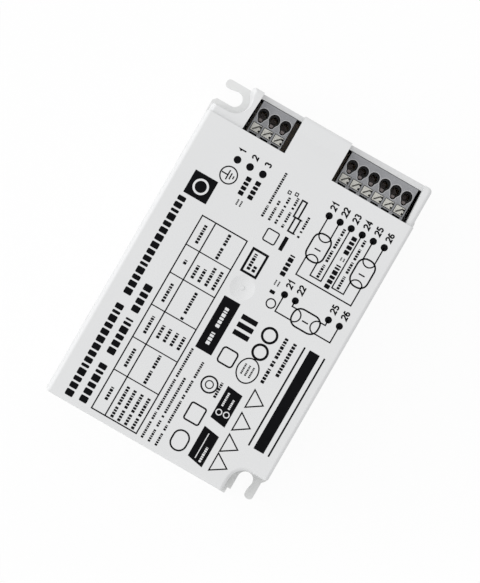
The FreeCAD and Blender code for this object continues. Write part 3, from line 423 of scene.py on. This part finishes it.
def print_headings():
    """Headings along the left side, solid fields, and the rows right of the table."""
    sheet = Print("print_headings", ink)
    sheet.blocks(-26.97, HEADING, (-49.2, -19.4), (-16.7, 14.6))
    sheet.blocks(-22.68, HEADING, (-48.8, -35.7), (-33.4, -22.2), (-20.0, -10.7))
    sheet.bar(-27.6, -20.4, 15.75, 22.85)
    sheet.bar(-3.25, 1.9, -19.8, -3.4)
    sheet.frame(-2.75, 1.75, 5.0, 11.9, 0.7)
    sheet.blocks(-1.25, 0.85, (6.0, 10.9))
    sheet.blocks(0.3, 0.85, (6.0, 8.2))
    sheet.blocks(-3.47, NOTE, (-49.1, -43.9), (-43.2, -40.9), (-40.2, -30.4), (-29.7, -20.4))
    sheet.blocks(-1.25, NOTE, (-49.1, -45.0), (-44.3, -42.1), (-41.4, -40.7), (-40.0, -28.7))
    sheet.blocks(0.97, NOTE, (-49.1, -45.0), (-44.3, -42.6), (-41.9, -34.9), (-34.2, -32.9),
                (-32.2, -28.2), (-27.5, -22.5))
    sheet.blocks(20.6, 0.9, (-15.8, -4.9))
    sheet.blocks(17.85, 0.9, (-19.4, -14.9), (-14.1, -12.4), (-11.6, -4.9))
    for middle, thick in ((23.35, 0.5), (26.5, 3.2), (29.65, 0.5)):
        sheet.bar(middle - thick / 2, middle + thick / 2, -36.2, -4.8)
    sheet.build()


def print_table():
    """A ruled table with a head column and rows of blocks in its cells."""
    left, divider, right = -19.62, -15.33, -5.3
    low, high = -48.9, 12.7
    rows = (-13.52, -11.37, -9.15, -6.93)
    middle_row = (rows[1] + rows[2]) / 2
    sheet = Print("print_table", ink)
    sheet.frame(left, right, low, high, LINE)
    sheet.line([(divider, low), (divider, high)], LINE)
    for rule in (-36.49, -26.08, -15.68, -5.42, 3.53):
        sheet.line([(left, rule), (right, rule)], THIN)
    sheet.blocks(-17.3, SMALL, (-45.0, -40.6), (-34.4, -28.4), (-23.7, -18.3), (-13.6, -7.9), (-1.6, -0.3),
                (5.1, 11.1))
    for number, row in enumerate(rows):
        sheet.blocks(row, SMALL, (-48.4, -45.1), (-44.4, -38.3))
        sheet.blocks(row, SMALL, (-23.1, -19.0))
        sheet.blocks(row, SMALL, (-3.9, 0.5 if number < 2 else 1.9))
    sheet.blocks(middle_row, SMALL, (-35.8, -31.6), (-30.9, -26.8))
    sheet.blocks(middle_row, SMALL, (-15.3, -14.3), (-13.4, -6.7))
    sheet.blocks(middle_row, SMALL, (4.1, 7.7), (8.4, 12.0))
    sheet.build()


def print_mains_symbols():
    """A dot for each pole, the earth symbol in its ring, and rows of blocks beside it."""
    ring_x, ring_y, radius = MAINS_POLES[0], 26.0, 2.45
    plate = ring_x - 0.22
    sheet = Print("print_mains_symbols", ink)
    for x in MAINS_POLES:
        sheet.disc(x, 30.92, 1.08)
    sheet.ring(ring_x, ring_y, radius, LINE)
    sheet.line([(-21.1, ring_y), (plate, ring_y)], LINE)
    for step, reach in enumerate((1.45, 0.95, 0.45)):
        x = plate + 0.85 * step
        sheet.line([(x, ring_y - reach), (x, ring_y + reach)], LINE)
    sheet.blocks(-13.55, LABEL, (22.8, 28.5))
    sheet.blocks(-10.65, LABEL, (23.0, 28.8))
    for x in (-13.1, -12.0):
        sheet.blocks(x, 0.4, (19.9, 21.6))
    sheet.build()


def print_wire_preparation():
    """Rows and small squares beside a stripped wire, and a frame and a bar nearer the middle."""
    sheet = Print("print_wire_preparation", ink)
    sheet.blocks(-5.24, NOTE, (20.7, 24.2), (24.8, 34.7))
    sheet.blocks(-3.05, NOTE, (20.75, 24.9), (25.6, 27.2))
    sheet.blocks(-1.04, NOTE, (20.8, 22.2), (22.8, 25.3), (25.95, 26.5), (27.2, 29.4))
    sheet.blocks(1.14, NOTE, (20.8, 21.8), (22.5, 25.9), (26.55, 27.2), (27.7, 30.1))
    for x, y in ((-1.85, 30.3), (0.18, 30.8)):
        sheet.frame(x - 0.4, x + 0.4, y - 0.4, y + 0.4, 0.28)
    bare, sleeve_end, sheath_end = 20.85, 25.1, 30.2
    sheet.frame(2.4, 3.85, sleeve_end, sheath_end, BOLD)
    sheet.frame(3.0, 4.65, bare, sleeve_end, BOLD)
    for y in (bare, sleeve_end):
        sheet.line([(4.65, y), (5.2, y)], THIN)
    sheet.blocks(6.38, NOTE, (20.5, 21.3), (22.1, 22.6), (23.2, 27.3))
    sheet.frame(-2.0, 1.6, 15.3, 18.9, 0.38, radius=0.5)
    sheet.bar(3.2, 4.35, 15.0, 19.2, radius=0.05)
    sheet.build()


def print_temperature_point():
    """The ring where the temperature is measured, and its row."""
    sheet = Print("print_temperature_point", ink)
    sheet.ring(9.02, 1.03, 1.3, LINE)
    sheet.blocks(7.75, LABEL, (3.5, 4.5), (9.2, 15.6))
    for x in (7.2, 8.2):
        sheet.blocks(x, TINY, (6.0, 7.6))
    sheet.build()


LAMP_ROUND = 2.3
CAP_RADIUS = 1.86
FILAMENT_THICK = 0.4


def upper_diagram(sheet):
    """Six poles, a lamp on each outer pair, and leads from the lamps' far ends."""
    dot_y, lead_y, cap_high, cap_low = 30.1, 24.4, 24.89, 16.77
    inner_y, outer_y, lead_end = 13.26, 11.53, 17.6
    p21, p22, p23, p24, p25, p26 = LAMP_POLES
    for x in LAMP_POLES:
        sheet.disc(x, 30.16, 1.02)
    for first, second, middle in ((p21, p22, 12.81), (p25, p26, 26.94)):
        for x in (first, second):
            sheet.line([(x, dot_y), (x, lead_y)], LINE)
        sheet.frame(middle - 2.64, middle + 2.64, 16.74, 25.08, BOLD, radius=LAMP_ROUND)
        sheet.line(arc(middle, cap_high, CAP_RADIUS, -172, -8), LINE)
        sheet.line(arc(middle, cap_low, CAP_RADIUS, 8, 172), LINE)
        sheet.bar(middle - 0.95, middle + 0.95, 20.2, 20.2 + FILAMENT_THICK, radius=0.1)
    sheet.line([(p21 + 0.1, lead_end), (p21 + 0.1, outer_y), (p26, outer_y), (p26, lead_end)], LINE)
    sheet.line([(p22 + 0.1, lead_end), (p22 + 0.1, inner_y), (p23, inner_y), (p23, dot_y)], LINE)
    sheet.line([(p24, dot_y), (p24, inner_y), (p25 + 0.15, inner_y), (p25 + 0.15, lead_end)], LINE)
    sheet.blocks(16.57, 0.7, (13.7, 17.7), (18.7, 22.2), (23.0, 26.4), (27.0, 29.2))
    sheet.blocks(23.07, 0.7, (13.7, 17.7), (18.7, 22.2), (23.0, 26.4), (27.2, 29.2))
    sheet.blocks(20.14, LABEL, (12.3, 19.6), (23.1, 28.6))
    for x in (19.75, 20.6):
        sheet.blocks(x, 0.34, (21.0, 22.0))


def lower_diagram(sheet):
    """Four poles with one lamp across them."""
    dot_y, low_y, high_y = 5.0, -0.25, 3.27
    left_end, right_end, middle_y = 16.2, 23.5, 1.47
    for x in LOWER_POLES:
        sheet.disc(x, 5.03, 1.0)
    leads = zip(LOWER_POLES, (low_y, high_y, high_y, low_y), (left_end, left_end, right_end, right_end))
    for x, y, end in leads:
        sheet.line([(x, dot_y), (x, y), (end, y)], LINE)
    sheet.frame(15.72, 23.96, -1.22, 4.16, BOLD, radius=LAMP_ROUND)
    sheet.line(arc(16.24, middle_y, CAP_RADIUS, -82, 82), LINE)
    sheet.line(arc(23.43, middle_y, CAP_RADIUS, 98, 262), LINE)
    sheet.bar(18.9, 20.8, 1.0, 1.0 + FILAMENT_THICK, radius=0.1)


def print_wiring_diagrams():
    sheet = Print("print_wiring_diagrams", ink)
    upper_diagram(sheet)
    lower_diagram(sheet)
    sheet.build()


def print_plain_shapes():
    """Plain bars, frames, rings, fields and triangles at the right of the table."""
    sheet = Print("print_plain_shapes", ink)
    left, right = 3.8, 8.4
    for y in (-6.0, -8.4, -10.8):
        sheet.bar(left, 8.7, y - 0.75, y + 0.75)
    sheet.frame(left, right, -20.2, -15.6, BOLD, radius=0.9)
    for radius, width in ((2.3, BOLD), (1.1, THIN)):
        sheet.ring(5.5, -27.0, radius, width)
    sheet.blocks(8.45, 0.7, (-29.5, -24.8))
    sheet.frame(left, right, -38.6, -33.4, BOLD, radius=0.6)
    sheet.frame(left, right, -47.4, -41.6, BOLD, radius=2.2)
    for y in (-6.9, -12.2):
        sheet.ring(13.2, y, 2.1, 0.7)
    sheet.ring(12.75, -18.4, 3.6, LINE, narrow=0.84)
    for x in (11.5, 12.75, 14.0):
        sheet.blocks(x, 0.45, (-20.0, -16.8))
    sheet.plate([(10.2, -34.6), (15.1, -35.3), (15.1, -25.2), (10.2, -24.7)])
    sheet.plate([(10.1, -47.0), (15.1, -48.0), (15.1, -38.3), (10.1, -37.5)])
    for low, high in ((-27.5, -21.9), (-34.8, -29.2), (-41.6, -36.1), (-47.6, -42.2)):
        sheet.line([(17.2, low), (17.2, high), (21.4, (low + high) / 2)], LINE, closed=True)
    sheet.build()


def print_pale_shapes():
    """Pale shapes that show in the solid fields."""
    sheet = Print("print_pale_shapes", cover_plastic, low=0.0, high=PALE_RISE)
    sheet.ring(-24.0, 19.3, 2.0, 0.6)
    sheet.blocks(-0.7, 1.0, (-17.6, -13.9), (-12.2, -5.7))
    for x, y in ((11.6, -32.3), (13.8, -32.0)):
        sheet.ring(x, y, 0.8, 0.3)
    sheet.blocks(11.5, 0.5, (-30.4, -26.3))
    sheet.blocks(13.6, 0.5, (-30.4, -27.4))
    sheet.blocks(13.8, 0.6, (-47.0, -42.4))
    sheet.line([(12.2, -46.6), (12.2, -38.8)], 0.25)
    sheet.build()


# Painted highlights round the mouths of the terminals: thin pale lines for the light on their rounded
# rims. A mouth has a round end, a shoulder and a smaller round tip
MOUTH_RADIUS = 1.58
MOUTH_SHOULDER = 0.7
TIP_RADIUS = 0.85
TIP_DROP = 1.92
MOUTH_SHIFT = 0.195
RIM_HIGHLIGHT_GAP = 0.09
RIM_HIGHLIGHT_WIDTH = 0.2


def mouth_outline(x, y, grow):
    """The outline of a mouth whose round end is centred on x, y."""
    wide = MOUTH_RADIUS + grow
    shoulder = y - MOUTH_SHOULDER
    return (arc(x, y, wide, 0, 180) + [(x - wide, shoulder)]
            + arc(x, y - TIP_DROP, TIP_RADIUS + grow, 180, 360) + [(x + wide, shoulder)])


# Painted highlights: a pale line round each wire entry's mouth, on the top of the terminal block
def mouth_rim_highlights():
    sheet = Print("mouth_rim_highlights", block_rim_highlight, level=BLOCK_TOP)
    for mount in frame["record"]["mounts"]:
        if "wire_entry" in mount["name"]:
            x = mount["pos_m"][0] / MM
            y = mount["pos_m"][1] / MM + MOUTH_SHIFT
            sheet.line(mouth_outline(x, y, RIM_HIGHLIGHT_GAP), RIM_HIGHLIGHT_WIDTH, closed=True)
    sheet.build()


def print_terminal_numbers():
    """The numbers of the poles, beside their dots."""
    sheet = Print("print_terminal_numbers", ink)
    for number, x in enumerate(MAINS_POLES):
        sheet.number(str(number + 1), x, 34.0)
    for number, x in enumerate(LAMP_POLES):
        sheet.number(str(number + FIRST_LAMP_NUMBER), x, 33.4)
    for text, x in zip(("21", "22", "25", "26"), LOWER_POLES):
        sheet.number(text, x, 8.5)
    sheet.build()


print_headings()
print_table()
print_mains_symbols()
print_wire_preparation()
print_temperature_point()
print_wiring_diagrams()
print_plain_shapes()
print_pale_shapes()
mouth_rim_highlights()
print_terminal_numbers()

# Floor: white, and mostly bright of itself to the camera and in reflections. The rest keeps the shadow
FLOOR_WHITE = 0.92
FLOOR_GLOW = 0.92
FLOOR_ROUGHNESS = 0.9
FLOOR_HALF = 3.0


def floor_material():
    material, tree, shader = new_material("floor")
    shader.inputs["Base Color"].default_value = (FLOOR_WHITE, FLOOR_WHITE, FLOOR_WHITE, 1.0)
    shader.inputs["Roughness"].default_value = FLOOR_ROUGHNESS
    glow = tree.nodes.new("ShaderNodeEmission")
    mix = tree.nodes.new("ShaderNodeMixShader")
    path = tree.nodes.new("ShaderNodeLightPath")
    seen = tree.nodes.new("ShaderNodeMath")
    seen.operation = "MAXIMUM"
    share = tree.nodes.new("ShaderNodeMath")
    share.operation = "MULTIPLY"
    share.inputs[1].default_value = FLOOR_GLOW
    tree.links.new(path.outputs["Is Camera Ray"], seen.inputs[0])
    tree.links.new(path.outputs["Is Glossy Ray"], seen.inputs[1])
    tree.links.new(seen.outputs[0], share.inputs[0])
    tree.links.new(share.outputs[0], mix.inputs["Fac"])
    tree.links.new(shader.outputs[0], mix.inputs[1])
    tree.links.new(glow.outputs[0], mix.inputs[2])
    tree.links.new(mix.outputs[0], tree.nodes["Material Output"].inputs["Surface"])
    return material


def make_floor():
    half = FLOOR_HALF
    corners = [(-half, -half, 0), (half, -half, 0), (half, half, 0), (-half, half, 0)]
    mesh = bpy.data.meshes.new("floor")
    mesh.from_pydata(corners, [], [(0, 1, 2, 3)])
    floor = bpy.data.objects.new("floor", mesh)
    bpy.context.scene.collection.objects.link(floor)
    dress(floor, floor_material())


make_floor()

# Light: a white room that is brighter on the left, and one soft key from the left
LEFT_LEVEL = 1.25
RIGHT_LEVEL = 0.60
KEY_DIRECTION = (-0.90, -0.25, 0.34)
KEY_STRENGTH = 0.62
KEY_SOFTNESS = math.radians(35)


def make_room():
    world = bpy.data.worlds.new("room")
    world.use_nodes = True
    tree = world.node_tree
    background = tree.nodes["Background"]
    background.inputs["Color"].default_value = (1, 1, 1, 1)
    direction = tree.nodes.new("ShaderNodeTexCoord")
    split = tree.nodes.new("ShaderNodeSeparateXYZ")
    level = tree.nodes.new("ShaderNodeMapRange")
    level.inputs["From Min"].default_value = -1.0
    level.inputs["To Min"].default_value = LEFT_LEVEL
    level.inputs["To Max"].default_value = RIGHT_LEVEL
    tree.links.new(direction.outputs["Generated"], split.inputs["Vector"])
    tree.links.new(split.outputs["X"], level.inputs["Value"])
    tree.links.new(level.outputs["Result"], background.inputs["Strength"])
    bpy.context.scene.world = world


def make_key_light():
    light = bpy.data.lights.new("key", "SUN")
    light.energy = KEY_STRENGTH
    light.angle = KEY_SOFTNESS
    key = bpy.data.objects.new("key", light)
    key.rotation_euler = Vector(KEY_DIRECTION).to_track_quat("Z", "Y").to_euler()
    bpy.context.scene.collection.objects.link(key)


make_room()
make_key_light()

# Camera: almost straight above with a long lens, the object's length turned 30 degrees to the right
DISTANCE = 1.75
TARGET = Vector((0.38, -0.08, 0)) * MM
LEAN = Vector((-0.0140, -0.0100, 1.0)).normalized()
TURN = math.radians(30)
PIXELS_PER_METRE = 3540
IMAGE_WIDTH = 480


def make_camera():
    data = bpy.data.cameras.new("camera")
    data.sensor_fit = "HORIZONTAL"
    data.sensor_width = 36
    data.lens = data.sensor_width * PIXELS_PER_METRE * DISTANCE / IMAGE_WIDTH
    data.clip_start = 0.1
    data.clip_end = 20
    camera = bpy.data.objects.new("camera", data)
    up = Vector((-math.sin(TURN), math.cos(TURN), 0))
    up = (up - LEAN * up.dot(LEAN)).normalized()
    right = up.cross(LEAN)
    turned = Matrix((right, up, LEAN)).transposed().to_4x4()
    camera.matrix_world = Matrix.Translation(TARGET + LEAN * DISTANCE) @ turned
    bpy.context.scene.collection.objects.link(camera)
    bpy.context.scene.camera = camera


make_camera()
bpy.context.scene.view_settings.view_transform = "Standard"
